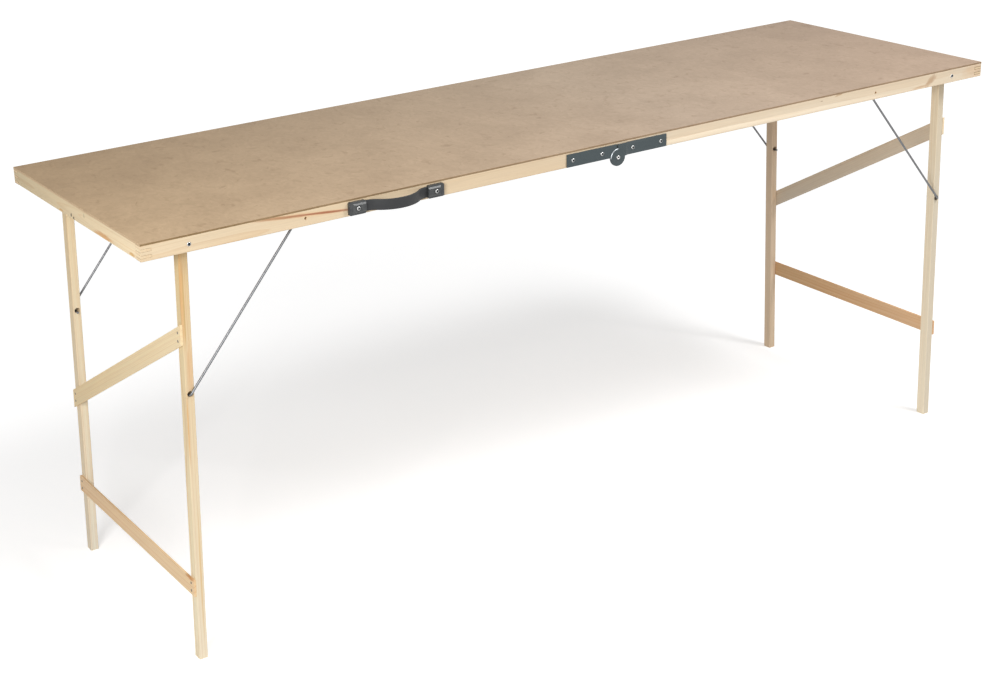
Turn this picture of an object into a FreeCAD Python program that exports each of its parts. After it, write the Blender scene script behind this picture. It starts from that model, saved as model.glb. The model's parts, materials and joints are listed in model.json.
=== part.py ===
"""Folding trestle table: two hinged trays of pine rails and hardboard on folding leg frames."""
import FreeCAD
import Part

import math
import os

V = FreeCAD.Vector
X_AXIS = V(1, 0, 0)
Y_AXIS = V(0, 1, 0)
Z_AXIS = V(0, 0, 1)

# Driving dimensions, in millimetres and degrees

# Table top
table_length = 1780.0
table_width = 530.0
table_height = 740.0
panel_thickness = 3.0
fold_gap = 0.15

# Rails of the two trays
rail_height = 25.0
rail_thickness = 18.0
rail_edge_radius = 1.0
finger_count = 5

# Legs
leg_thickness = 15.0
leg_width = 19.0
leg_splay = 2.0
leg_pivot_inset = 79.5
leg_top_clearance = 2.5
leg_top_radius = 5.0
leg_edge_radius = 1.5

# Slats nailed across each pair of legs: each frame sets its own heights, so the two nest
slat_thickness = 4.5
slat_width = 30.0
slat_edge_radius = 0.8
brace_slope = 29.4
left_brace_drop = 288.0
right_brace_drop = 242.0
left_stretcher_drop = 592.0
right_stretcher_drop = 534.0
nail_diameter = 2.0
nail_tip_cover = 2.5
nail_head_diameter = 4.5
nail_head_height = 0.6
nail_spacing = 14.0

# Leg pivots
pin_diameter = 6.0
pin_dome_height = 0.8
pin_head_diameter = 10.0
pin_head_height = 2.0
spacer_diameter = 14.0

# Wire stays
stay_diameter = 4.0
stay_bend_inside = 2.5
stay_hook_inside = 0.5
stay_anchor_distance = 201.0
stay_drop = 252.0
stay_tip_length = 6.0

# Middle hinges
hinge_strip_length = 107.0
hinge_lower_margin = 0.5
hinge_upper_margin = 2.0
hinge_thickness = 2.0
hinge_lobe_radius = 15.5
hinge_corner_radius = 1.0
joggle_clearance = 1.5
joggle_length = 4.0
hinge_screw_near = 33.0
hinge_screw_far = 94.5
rivet_diameter = 5.0
rivet_head_diameter = 7.5
rivet_head_height = 1.6
rivet_flare_height = 1.0

# Carrying handle
handle_length = 178.0
cap_length = 31.0
cap_margin = 1.5
cap_depth = 8.0
cap_wall = 1.6
cap_corner_radius = 3.0
cap_edge_radius = 1.5
cap_boss_diameter = 10.0
strap_thickness = 3.0
strap_bow = 22.0
strap_root_radius = 30.0

# Wood screws of the hinges and the handle
screw_diameter = 3.5
screw_length = 14.0
screw_head_diameter = 7.0
screw_head_height = 1.8

# Clearances
fastener_clearance = 0.05
pivot_clearance = 0.09
strap_clearance = 0.4
stay_lane_clearance = 1.0
stay_rail_clearance = 0.5
stay_leg_clearance = 3.0
stay_seat_gap = 0.6
running_gap = 0.3

# Derived levels and places
half_length = table_length / 2
half_width = table_width / 2
rail_top = table_height - panel_thickness
rail_bottom = rail_top - rail_height
rail_middle = (rail_top + rail_bottom) / 2
rail_inside = half_width - rail_thickness

stay_rail_hole = stay_diameter + 2 * stay_rail_clearance
stay_leg_hole = stay_diameter + 2 * stay_leg_clearance
stay_lane_width = stay_diameter + 2 * stay_lane_clearance
stay_lane = rail_inside - stay_lane_width / 2

pivot_x = half_length - leg_pivot_inset
pivot_z = rail_middle
leg_outside = rail_inside - stay_lane_width
leg_inside = leg_outside - leg_width
leg_middle = (leg_outside + leg_inside) / 2
leg_top_reach = rail_height / 2 - leg_top_clearance
leg_reach = pivot_z / math.cos(math.radians(leg_splay)) + leg_thickness
nail_length = slat_thickness + leg_thickness - nail_tip_cover
brace_drop = {"left": left_brace_drop, "right": right_brace_drop}
stretcher_drop = {"left": left_stretcher_drop, "right": right_stretcher_drop}

strip_height = rail_height - hinge_lower_margin - hinge_upper_margin
strip_bottom = rail_bottom + hinge_lower_margin
strip_middle = strip_bottom + strip_height / 2
joggle_start = hinge_lobe_radius + joggle_clearance

handle_middle = -half_length / 2
cap_height = rail_height - 2 * cap_margin
cap_offset = handle_length / 2 - cap_length / 2
strap_width = cap_height - 2 * cap_wall - 2 * strap_clearance
strap_half_span = handle_length / 2 - cap_length

# The origin lies on the floor under the middle of the whole object, handle and rivets included
front_reach = half_width + strap_thickness + strap_bow
back_reach = half_width + 2 * hinge_thickness + running_gap / 2 + rivet_head_height
y_shift = (front_reach - back_reach) / 2

SIDES = {"left": -1, "right": 1}
FACES = {"front": -1, "back": 1}


def block(x0, x1, y0, y1, z0, z1):
    """A box between two opposite corners, given in any order."""
    low = V(min(x0, x1), min(y0, y1), min(z0, z1))
    return Part.makeBox(abs(x1 - x0), abs(y1 - y0), abs(z1 - z0), low)


def rod(diameter, start, end):
    """A round bar between two points."""
    along = end - start
    return Part.makeCylinder(diameter / 2, along.Length, start, along)


def dome(diameter, height, base, direction):
    """A shallow spherical cap standing on its flat face at base."""
    radius = ((diameter / 2) ** 2 + height ** 2) / (2 * height)
    ball = Part.makeSphere(radius, base + direction * (height - radius))
    keep = Part.makeCylinder(diameter / 2, height, base, direction)
    return ball.common(keep)


def mirrored(shape):
    """The same piece on the opposite long side."""
    return shape.mirror(V(0, 0, 0), Y_AXIS)


def on_face(shape, face):
    """A piece modelled at the front, moved to the named long side."""
    return shape if face == "front" else mirrored(shape)


def edges_along(shape, direction, at_least):
    """Straight edges of a shape that run along a direction and have a given length or more."""
    found = []
    for edge in shape.Edges:
        ends = edge.Vertexes
        if len(ends) == 2 and edge.Length >= at_least:
            run = (ends[1].Point - ends[0].Point).normalize()
            if abs(run.dot(direction)) > 0.9999:
                found.append(edge)
    return found


def rounded_path(points, radii):
    """A wire of straight runs whose inner corners are arcs of the given radii."""
    edges = []
    start = points[0]
    for i, radius in enumerate(radii, start=1):
        before = (points[i - 1] - points[i]).normalize()
        after = (points[i + 1] - points[i]).normalize()
        half_angle = before.getAngle(after) / 2
        setback = radius / math.tan(half_angle)
        arc_in = points[i] + before * setback
        arc_out = points[i] + after * setback
        bisector = (before + after).normalize()
        middle = points[i] + bisector * (radius / math.sin(half_angle) - radius)
        edges.append(Part.LineSegment(start, arc_in).toShape())
        edges.append(Part.Arc(arc_in, middle, arc_out).toShape())
        start = arc_out
    edges.append(Part.LineSegment(start, points[-1]).toShape())
    return Part.Wire(edges)


def bent_wire(path, diameter):
    """A round wire swept along a path."""
    first = path.OrderedEdges[0]
    start = first.valueAt(first.FirstParameter)
    ring = Part.Wire(Part.Circle(start, first.tangentAt(first.FirstParameter), diameter / 2).toShape())
    return path.makePipeShell([ring], True, False)


def finger(side, at_end, number, reach):
    """One layer of a tray corner: the block that a rail's finger fills at the front or back."""
    layer = rail_height / finger_count
    z0 = rail_bottom + number * layer
    if at_end:
        x0, x1 = half_length - rail_thickness, half_length
    else:
        x0, x1 = fold_gap / 2, fold_gap / 2 + rail_thickness
    y0, y1 = reach * rail_inside, reach * half_width
    return block(side * x0, side * x1, y0, y1, z0, z0 + layer)


def rail_bar(x0, x1, y0, y1, along, outside):
    """A plain rail whose lower outer edge is eased."""
    bar = block(x0, x1, y0, y1, rail_bottom, rail_top)
    lower = [e for e in edges_along(bar, along, 0) if e.CenterOfMass.z < bar.CenterOfMass.z]
    eased = [e for e in lower if (e.CenterOfMass - bar.CenterOfMass).dot(outside) > 0]
    return bar.makeFillet(rail_edge_radius, eased)


def long_rail(side_name):
    """A front rail of one tray: fingers at both ends, and holes for what it carries."""
    side = SIDES[side_name]
    bar = rail_bar(side * fold_gap / 2, side * half_length, -half_width, -rail_inside, X_AXIS, -Y_AXIS)
    cuts = [finger(side, at_end, n, -1) for at_end in (True, False) for n in range(1, finger_count, 2)]
    outer = V(0, -half_width, 0)
    through = V(0, rail_thickness, 0)
    pin_place = outer + V(side * pivot_x, 0, pivot_z)
    cuts.append(rod(pin_diameter + 2 * fastener_clearance, pin_place, pin_place + through))
    anchor = outer + V(side * (pivot_x - stay_anchor_distance), 0, pivot_z)
    cuts.append(rod(stay_rail_hole, anchor, anchor + through))
    cuts += [screw_hole(x, strip_middle, hinge_thickness) for x in hinge_screw_places(side)]
    return bar.cut(cuts)


def handle_rail():
    """The front rail that carries the handle's two screws as well."""
    return long_rail("left").cut(handle_screw_holes())


def cross_rail(side_name, at_end):
    """An end or centre rail of one tray, with the fingers that fill the long rails' gaps."""
    side = SIDES[side_name]
    if at_end:
        x0, x1, outside = half_length - rail_thickness, half_length, X_AXIS * side
    else:
        x0, x1, outside = fold_gap / 2, fold_gap / 2 + rail_thickness, X_AXIS * -side
    bar = rail_bar(side * x0, side * x1, -half_width, half_width, Y_AXIS, outside)
    cuts = [finger(side, at_end, n, reach) for reach in (-1, 1) for n in range(0, finger_count, 2)]
    return bar.cut(cuts)


def top_panel(side_name):
    """The hardboard sheet on one tray."""
    side = SIDES[side_name]
    return block(side * fold_gap / 2, side * half_length, -half_width, half_width, rail_top, table_height)


def leg_pin(side_name):
    """A pivot pin: domed outside the rail, headed inside the leg."""
    x = SIDES[side_name] * pivot_x
    outer = V(x, -half_width, pivot_z)
    inner = V(x, -leg_inside + running_gap, pivot_z)
    shank = rod(pin_diameter, outer, inner)
    tip = dome(pin_diameter, pin_dome_height, outer, -Y_AXIS)
    head = dome(pin_head_diameter, pin_head_height, inner, Y_AXIS)
    return shank.fuse([tip, head]).removeSplitter()


def leg_spacer(side_name):
    """The bush on a pivot pin that keeps a lane open for the stay."""
    x = SIDES[side_name] * pivot_x
    start = V(x, -rail_inside, pivot_z)
    end = V(x, -leg_outside - running_gap, pivot_z)
    return rod(spacer_diameter, start, end).cut(rod(pin_diameter + 2 * fastener_clearance, start, end))


def on_leg_frame(shape, side_name):
    """Lean a piece modelled about an upright frame's pivot, and carry it to its tray."""
    side = SIDES[side_name]
    shape.rotate(V(0, 0, 0), Y_AXIS, -side * leg_splay)
    shape.translate(V(side * pivot_x, 0, pivot_z))
    return shape


def brace_level(side_name, y):
    """Height of the brace's middle line below the pivot: low at the back, high at the front."""
    return -brace_drop[side_name] - y * math.tan(math.radians(brace_slope))


def nail_places(side_name):
    """Nail positions across and up each frame, two at every slat end."""
    places = []
    for y in (-leg_middle, leg_middle):
        for level in (brace_level(side_name, y), -stretcher_drop[side_name]):
            places += [(y, level - nail_spacing / 2), (y, level + nail_spacing / 2)]
    return places


def nail(side_name, y, z, clearance):
    """A flush-headed nail through a slat into a leg; with clearance, the hole for one."""
    side = SIDES[side_name]
    face = V(side * (leg_thickness / 2 + slat_thickness), y, z)
    inward = X_AXIS * -side
    head = rod(nail_head_diameter + 2 * clearance, face, face + inward * nail_head_height)
    shank = rod(nail_diameter + 2 * clearance, face, face + inward * (nail_length + clearance))
    return head.fuse(shank).removeSplitter()


def frame_nails(side_name):
    """All the nails of one leg frame."""
    nails = [nail(side_name, y, z, 0) for y, z in nail_places(side_name)]
    return on_leg_frame(Part.makeCompound(nails), side_name)


def nailed(shape, side_name):
    """Cut every nail hole of a frame that meets this piece."""
    return shape.cut([nail(side_name, y, z, fastener_clearance) for y, z in nail_places(side_name)])


def leg(side_name, face):
    """One leg: rounded top, eased edges, pivot and stay holes, foot cut flat to the floor."""
    half = leg_thickness / 2
    profile = block(-half, half, -leg_width / 2, leg_width / 2, -leg_reach, leg_top_reach)
    top = [e for e in edges_along(profile, Y_AXIS, leg_width - 1) if e.CenterOfMass.z > 0]
    bar = profile.makeFillet(leg_top_radius, top)
    bar = bar.makeFillet(leg_edge_radius, edges_along(bar, Z_AXIS, leg_reach - leg_top_radius))
    across = V(0, leg_width, 0)
    pivot = V(0, -leg_width / 2, 0)
    hook = V(0, -leg_width / 2, -stay_drop)
    holes = [rod(pin_diameter + 2 * pivot_clearance, pivot, pivot + across),
             rod(stay_leg_hole, hook, hook + across)]
    bar = bar.cut(holes)
    bar.translate(V(0, FACES[face] * leg_middle, 0))
    bar = on_leg_frame(nailed(bar, side_name), side_name)
    under_floor = block(-table_length, table_length, -table_width, table_width, -leg_reach, 0)
    return bar.cut(under_floor)


def slat(side_name, level, upright_width):
    """A slat on the legs' outer faces, about a middle line whose height is given at each end."""
    side = SIDES[side_name]
    x0 = side * leg_thickness / 2
    half = upright_width / 2
    front, back = -leg_outside, leg_outside
    corners = [V(x0, front, level(front) - half), V(x0, back, level(back) - half),
               V(x0, back, level(back) + half), V(x0, front, level(front) + half)]
    face = Part.Face(Part.makePolygon(corners + corners[:1]))
    bar = face.extrude(X_AXIS * side * slat_thickness)
    long_edges = edges_along(bar, (corners[1] - corners[0]).normalize(), leg_outside)
    bar = bar.makeFillet(slat_edge_radius, long_edges)
    return on_leg_frame(nailed(bar, side_name), side_name)


def diagonal_brace(side_name):
    """The sloping upper slat."""
    upright_width = slat_width / math.cos(math.radians(brace_slope))
    return slat(side_name, lambda y: brace_level(side_name, y), upright_width)


def stretcher(side_name):
    """The level lower slat."""
    return slat(side_name, lambda y: -stretcher_drop[side_name], slat_width)


def stay(side_name):
    """A wire stay: its lower end lies in the leg's wide hole, its upper hook meets the rail's hole."""
    side = SIDES[side_name]
    lean = math.radians(leg_splay)
    hole = V(side * (pivot_x + stay_drop * math.sin(lean)), 0, pivot_z - stay_drop * math.cos(lean))
    anchor = V(side * (pivot_x - stay_anchor_distance), 0, pivot_z)
    along = (anchor - hole).normalize()
    foot = hole - along * (stay_leg_clearance - stay_seat_gap)
    points = [foot + V(0, -leg_inside + stay_tip_length, 0), foot + V(0, -stay_lane, 0),
              anchor + V(0, -stay_lane, 0), anchor + V(0, -rail_inside + running_gap, 0)]
    bends = [stay_diameter / 2 + stay_bend_inside, stay_diameter / 2 + stay_hook_inside]
    return bent_wire(rounded_path(points, bends), stay_diameter)


def hinge_screw_places(side):
    """Where the two screws of a hinge strip stand along the rail."""
    return [side * hinge_screw_near, side * hinge_screw_far]


def screw_hole(x, z, standoff):
    """The hole that a wood screw takes, measured through a piece of the given thickness."""
    start = V(x, -half_width - standoff, z)
    depth = screw_length + fastener_clearance
    return rod(screw_diameter + 2 * fastener_clearance, start, start + Y_AXIS * depth)


def screw(x, z, standoff):
    """A round-headed wood screw seated on a piece of the given thickness."""
    seat = V(x, -half_width - standoff, z)
    shank = rod(screw_diameter, seat, seat + Y_AXIS * screw_length)
    return shank.fuse(dome(screw_head_diameter, screw_head_height, seat, -Y_AXIS)).removeSplitter()


def lobe(level, radius):
    """A disc about the fold rivet, in the first or second layer in front of the rail."""
    start = V(0, -half_width - level * hinge_thickness, rail_bottom)
    return Part.makeCylinder(radius, hinge_thickness, start, -Y_AXIS)


def hinge_blank(outline, side, disc):
    """A hinge strip raised from its plan outline, with its end corners rounded and its lobe added."""
    strip = Part.Face(Part.makePolygon(outline + outline[:1])).extrude(Z_AXIS * strip_height)
    corners = [e for e in edges_along(strip, Y_AXIS, 0) if abs(e.CenterOfMass.x) > hinge_screw_far]
    plate = strip.makeFillet(hinge_corner_radius, corners).fuse(disc).removeSplitter()
    return plate.cut([screw_hole(x, strip_middle, hinge_thickness) for x in hinge_screw_places(side)])


def hinge_left_plate():
    """The flat hinge strip, whose lobe lies next to the rails."""
    face = -half_width
    front = face - hinge_thickness
    outline = [V(x, y, strip_bottom) for x, y in
               ((0, face), (-hinge_strip_length, face), (-hinge_strip_length, front), (0, front))]
    plate = hinge_blank(outline, -1, lobe(0, hinge_lobe_radius))
    return plate.cut(rivet_body(fastener_clearance))


def hinge_right_plate():
    """The joggled hinge strip, whose lobe laps over the other one."""
    face = -half_width
    first = face - hinge_thickness
    second = first - hinge_thickness
    slant = math.atan2(hinge_thickness, joggle_length)
    shift = hinge_thickness * math.tan(slant / 2)
    end = joggle_start + joggle_length
    back_line = [(0, first), (joggle_start, first), (end, face), (hinge_strip_length, face)]
    front_line = [(hinge_strip_length, first), (end + shift, first),
                  (joggle_start + shift, second), (0, second)]
    outline = [V(x, y, strip_bottom) for x, y in back_line + front_line]
    plate = hinge_blank(outline, 1, lobe(1, hinge_lobe_radius))
    return plate.cut(lobe(1, rivet_diameter / 2 + pivot_clearance))


def rivet_body(clearance):
    """The fold rivet's shank and the flare that seats it in the left lobe; with clearance, its hole."""
    back = V(0, -half_width, rail_bottom)
    shank_radius = rivet_diameter / 2 + clearance
    flare_radius = rivet_head_diameter / 2 + clearance
    length = 2 * hinge_thickness + running_gap / 2
    shank = Part.makeCylinder(shank_radius, length, back, -Y_AXIS)
    flare = Part.makeCone(flare_radius, shank_radius, rivet_flare_height, back, -Y_AXIS)
    return shank.fuse(flare).removeSplitter()


def hinge_rivet():
    """The fold rivet with its domed outer head."""
    face = V(0, -half_width - 2 * hinge_thickness - running_gap / 2, rail_bottom)
    return rivet_body(0).fuse(dome(rivet_head_diameter, rivet_head_height, face, -Y_AXIS)).removeSplitter()


def hinge_screws(side_name):
    """The four screws that hold one half's hinge strips, front and back."""
    front = [screw(x, strip_middle, hinge_thickness) for x in hinge_screw_places(SIDES[side_name])]
    return Part.makeCompound(front + [mirrored(s) for s in front])


def strap_edge(reach):
    """The strap's plan line at a distance from the rail: flat ends, root arcs and one bowed arc."""
    both_radii = (strap_half_span ** 2 + strap_bow ** 2) / (2 * strap_bow)
    root = strap_root_radius - reach
    turn = math.asin(strap_half_span / both_radii)
    end = strap_half_span + cap_length - cap_wall - running_gap

    def at(x, out):
        return V(handle_middle + x, -half_width - reach - out, rail_middle - strap_width / 2)

    def root_point(angle, sign):
        return at(sign * (strap_half_span - root * math.sin(angle)), root * (1 - math.cos(angle)))

    left_join, right_join = root_point(turn, -1), root_point(turn, 1)
    runs = [Part.LineSegment(at(-end, 0), at(-strap_half_span, 0)),
            Part.Arc(at(-strap_half_span, 0), root_point(turn / 2, -1), left_join),
            Part.Arc(left_join, at(0, strap_bow), right_join),
            Part.Arc(right_join, root_point(turn / 2, 1), at(strap_half_span, 0)),
            Part.LineSegment(at(strap_half_span, 0), at(end, 0))]
    return [run.toShape() for run in runs]


def handle_strap():
    """The bowed strap: flat ends under the caps, and room for fingers behind the middle."""
    inner, outer = strap_edge(0), strap_edge(strap_thickness)
    starts = [edges[0].firstVertex().Point for edges in (inner, outer)]
    ends = [edges[-1].lastVertex().Point for edges in (inner, outer)]
    closing = [Part.LineSegment(*starts).toShape(), Part.LineSegment(*ends).toShape()]
    outline = Part.Wire(Part.sortEdges(inner + outer + closing)[0])
    strap = Part.Face(outline).extrude(Z_AXIS * strap_width)
    return strap.cut(handle_screw_holes())


def handle_cap(middle, inward):
    """A hollow end cap: open to the rail and to the strap, with a boss that clamps the strap."""
    face = -half_width - cap_depth

    def centred(length, height, y):
        x0, z0 = middle - length / 2, rail_middle - height / 2
        return block(x0, x0 + length, -half_width, y, z0, z0 + height)

    shell = centred(cap_length, cap_height, face)
    shell = shell.makeFillet(cap_corner_radius, edges_along(shell, Y_AXIS, 0))
    rim = [e for e in shell.Edges if abs(e.CenterOfMass.y - face) < cap_edge_radius / 2]
    shell = shell.makeFillet(cap_edge_radius, rim)
    inner_height = cap_height - 2 * cap_wall
    hollow = centred(cap_length - 2 * cap_wall, inner_height, face + cap_wall)
    mouth = centred(cap_length, inner_height, -half_width - strap_thickness - running_gap)
    mouth.translate(X_AXIS * inward * cap_length / 2)
    boss = rod(cap_boss_diameter, V(middle, -half_width - strap_thickness, rail_middle),
               V(middle, face + cap_wall / 2, rail_middle))
    cap = shell.cut([hollow, mouth]).fuse(boss).removeSplitter()
    return cap.cut(screw_hole(middle, rail_middle, cap_depth))


def handle_screw_places():
    """Where the two screws of the handle stand along the rail."""
    return [handle_middle - cap_offset, handle_middle + cap_offset]


def handle_screw_holes():
    """The holes through the strap's ends and into the rail."""
    return [screw_hole(x, rail_middle, cap_depth) for x in handle_screw_places()]


def handle_screws():
    """The two screws that hold the caps and the strap's ends."""
    return Part.makeCompound([screw(x, rail_middle, cap_depth) for x in handle_screw_places()])


def half_pieces(side_name):
    """Every piece of one tray and its leg frame, by name."""
    pieces = {
        "end_rail": cross_rail(side_name, True),
        "centre_rail": cross_rail(side_name, False),
        "top_panel": top_panel(side_name),
        "hinge_screws": hinge_screws(side_name),
        "diagonal_brace": diagonal_brace(side_name),
        "stretcher": stretcher(side_name),
        "frame_nails": frame_nails(side_name),
    }
    for face in FACES:
        carries_handle = (side_name, face) == ("left", "front")
        pieces[face + "_rail"] = handle_rail() if carries_handle else on_face(long_rail(side_name), face)
        pieces[face + "_leg_pin"] = on_face(leg_pin(side_name), face)
        pieces[face + "_leg_spacer"] = on_face(leg_spacer(side_name), face)
        pieces[face + "_leg"] = leg(side_name, face)
        pieces[face + "_stay"] = on_face(stay(side_name), face)
    return {side_name + "_" + name: shape for name, shape in pieces.items()}


def hinge_pieces():
    """The plates and rivets of the two middle hinges, by name."""
    pieces = {}
    for face in FACES:
        pieces[face + "_hinge_left_plate"] = on_face(hinge_left_plate(), face)
        pieces[face + "_hinge_right_plate"] = on_face(hinge_right_plate(), face)
        pieces[face + "_hinge_rivet"] = on_face(hinge_rivet(), face)
    return pieces


def handle_pieces():
    """The carrying handle's pieces, by name."""
    left, right = handle_screw_places()
    return {
        "handle_strap": handle_strap(),
        "handle_left_cap": handle_cap(left, 1),
        "handle_right_cap": handle_cap(right, -1),
        "handle_screws": handle_screws(),
    }


def main():
    """Build every piece and write each to its own file."""
    os.makedirs("parts", exist_ok=True)
    pieces = {**half_pieces("left"), **half_pieces("right"), **hinge_pieces(), **handle_pieces()}
    for name, shape in pieces.items():
        shape.translate(V(0, y_shift, 0))
        shape.exportStep("parts/" + name + ".step")
        print(name, "solids", len(shape.Solids), "volume %.0f" % shape.Volume, "valid", shape.isValid())


main()
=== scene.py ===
# %% [markdown]
# # A folding trestle table
# The table is two shallow trays of pine and hardboard, hinged in the middle, on two folding leg frames.
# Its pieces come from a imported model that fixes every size, so this lesson gives them their looks:
# eased edges, wood, paint and metal, and finer versions of the small fittings.
# The model is loaded first, because every place below is measured from it.

# %% Load the frame
import json
import math

import bmesh
import bpy
from mathutils import Matrix, Quaternion, Vector

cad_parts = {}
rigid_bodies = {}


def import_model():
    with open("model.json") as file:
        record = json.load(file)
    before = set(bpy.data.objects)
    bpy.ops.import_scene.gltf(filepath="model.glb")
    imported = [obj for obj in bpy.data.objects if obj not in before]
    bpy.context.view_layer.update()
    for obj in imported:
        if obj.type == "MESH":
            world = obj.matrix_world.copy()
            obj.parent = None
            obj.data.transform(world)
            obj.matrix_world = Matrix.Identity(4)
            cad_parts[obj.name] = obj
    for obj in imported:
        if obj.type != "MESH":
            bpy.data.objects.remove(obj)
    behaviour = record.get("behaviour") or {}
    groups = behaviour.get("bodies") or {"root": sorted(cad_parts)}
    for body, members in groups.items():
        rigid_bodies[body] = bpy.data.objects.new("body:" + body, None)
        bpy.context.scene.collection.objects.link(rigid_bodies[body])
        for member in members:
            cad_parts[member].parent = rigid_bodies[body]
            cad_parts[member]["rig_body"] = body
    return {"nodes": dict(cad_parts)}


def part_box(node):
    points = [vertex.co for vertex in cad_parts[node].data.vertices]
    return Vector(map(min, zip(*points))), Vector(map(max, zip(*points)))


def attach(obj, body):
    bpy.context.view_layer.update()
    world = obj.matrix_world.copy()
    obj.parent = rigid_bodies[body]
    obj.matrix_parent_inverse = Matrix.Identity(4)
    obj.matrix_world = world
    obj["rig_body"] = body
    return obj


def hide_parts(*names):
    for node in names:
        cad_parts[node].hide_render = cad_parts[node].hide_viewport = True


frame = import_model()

MM = 0.001
scene = bpy.context.scene
nodes = frame["nodes"]
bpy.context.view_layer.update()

# %% [markdown]
# ## Camera
# The photograph looks at the table's front and left end from about the eye level of someone standing.
# A camera could be placed by eye, but its place, turn and lens were worked out from the table's own
# corners, whose sizes are known, so that render and photograph can be laid over each other.
# The picture is a crop of a wider one, which is what the sideways shift of the lens repeats.

# %% Camera
camera_data = bpy.data.cameras.new("camera")
camera_data.sensor_width = 36.0
camera_data.lens = 65.0
camera_data.shift_x = 0.1276
camera = bpy.data.objects.new("camera", camera_data)
camera.location = (-1.867, -2.628, 1.578)
camera_turn = math.radians(29.945)
camera_tilt = math.radians(21.59)
camera_roll = math.radians(-2.675)
view = Vector((math.sin(camera_turn) * math.cos(camera_tilt),
               math.cos(camera_turn) * math.cos(camera_tilt), -math.sin(camera_tilt)))
aim = view.to_track_quat("-Z", "Y") @ Quaternion((0.0, 0.0, 1.0), camera_roll)
camera.rotation_euler = aim.to_euler()
scene.collection.objects.link(camera)
scene.camera = camera
print("camera at", *camera.location, "lens", camera_data.lens)

# %% [markdown]
# ## Nodes in short lines
# Every finish below is a small network of shader nodes.
# Written out in full, each node takes one line for itself, one for each value and one for each link.
# A helper that makes a node, sets its values and links its sockets in one call keeps the networks readable:
# a value that is a socket becomes a link, and any other value is set on the input.

# %% Node helpers
def fill(node, inputs):
    """Set or link a node's inputs by name or number."""
    for name, value in inputs.items():
        if isinstance(value, bpy.types.NodeSocket):
            node.id_data.links.new(value, node.inputs[name])
        else:
            node.inputs[name].default_value = value


def add(tree, kind, inputs, **settings):
    """Make a node, set or link its inputs, and return it."""
    node = tree.nodes.new("ShaderNode" + kind)
    for name, value in settings.items():
        setattr(node, name, value)
    fill(node, inputs)
    return node


def calc(tree, operation, *numbers):
    """One sum on numbers that vary over the surface."""
    return add(tree, "Math", dict(enumerate(numbers)), operation=operation).outputs[0]


def vector_calc(tree, operation, *vectors):
    """One sum on vectors: a number if it is a length or a dot product, and otherwise a vector."""
    node = add(tree, "VectorMath", dict(enumerate(vectors)), operation=operation)
    return node.outputs["Value" if operation in ("LENGTH", "DOT_PRODUCT") else "Vector"]


def spread(tree, value, start, stop, low=0.0, high=1.0, **settings):
    """A number that goes from low to high while the value goes from start to stop."""
    inputs = {"Value": value, "From Min": start, "From Max": stop, "To Min": low, "To Max": high}
    return add(tree, "MapRange", inputs, **settings).outputs[0]


def split(tree, vector):
    """The three parts of a vector, by the letters X, Y and Z."""
    return add(tree, "SeparateXYZ", {"Vector": vector}).outputs


def blend(tree, factor, first, second, mode="MIX"):
    """Two colours mixed, or one laid over the other in another mode."""
    # a Mix node has sockets for every kind of value, and those for colours are inputs 6 and 7 and output 2
    node = add(tree, "Mix", {0: factor, 6: first, 7: second}, data_type="RGBA", blend_type=mode)
    return node.outputs[2]


def tinted(tree, colour, tint):
    """A colour multiplied by another."""
    return blend(tree, 1.0, colour, tint, "MULTIPLY")


def tone(red, green, blue):
    """A colour as it is read off a picture, 0 to 255, turned into the linear values that Blender mixes."""
    linear = []
    for part in (red, green, blue):
        share = part / 255
        linear.append(share / 12.92 if share <= 0.04045 else ((share + 0.055) / 1.055) ** 2.4)
    return (*linear, 1.0)


print("a mid grey of 128 is", round(tone(128, 128, 128)[0], 3), "in linear light")

# %% [markdown]
# ## Light
# The picture is a cut-out from a studio. How bright its faces are tells where the light came from: one soft
# lamp stands to the left at head height, because the left end and the inner sides of the legs are bright,
# and one hangs high on the right, because the top is bright and the far legs lie in the table's shadow.
# A white sky fills the shadows. It is bright for the camera but gentler for what it lights, which keeps
# the ground white without bleaching the wood. Shiny metal has to show that white, so mirror rays see it too.

# %% Studio light
sky_level = 0.28
lamp_size = 0.9
lamp_target = Vector((0.0, 0.0, 0.6))
world = bpy.data.worlds.new("studio")
world.use_nodes = True
scene.world = world
sky = world.node_tree


def seen_directly(tree):
    """1 for rays from the camera or off a shiny or clear surface, 0 for the light that falls on things."""
    rays = add(tree, "LightPath", {})
    mirrored = calc(tree, "MAXIMUM", rays.outputs["Is Glossy Ray"], rays.outputs["Is Transmission Ray"])
    return calc(tree, "MAXIMUM", rays.outputs["Is Camera Ray"], mirrored)


white = (1.0, 1.0, 1.0, 1.0)
sky_strength = spread(sky, seen_directly(sky), 0.0, 1.0, sky_level, 1.0)
fill(sky.nodes["Background"], {"Color": white, "Strength": sky_strength})


def soft_lamp(name, place, power):
    """A square lamp, turned towards the middle of the table's legs."""
    data = bpy.data.lights.new(name, "AREA")
    data.size = lamp_size
    data.energy = power
    lamp = bpy.data.objects.new(name, data)
    lamp.location = place
    lamp.rotation_euler = (lamp_target - lamp.location).to_track_quat("-Z", "Y").to_euler()
    scene.collection.objects.link(lamp)


soft_lamp("left_lamp", (-2.2, -1.6, 1.6), 38.0)
soft_lamp("right_lamp", (1.2, -1.4, 2.8), 49.0)
scene.view_settings.view_transform = "Standard"
print("sky level", sky_level, "and two soft lamps")

# %% [markdown]
# ## Floor
# The floor is a plain pale sheet under the legs. It is white diffuse paper that keeps the table's
# shadow, with a little light of its own for the camera, so that the open floor reads as white.
# The lamps light it less and less with distance, so its own light grows away from the table.

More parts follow.
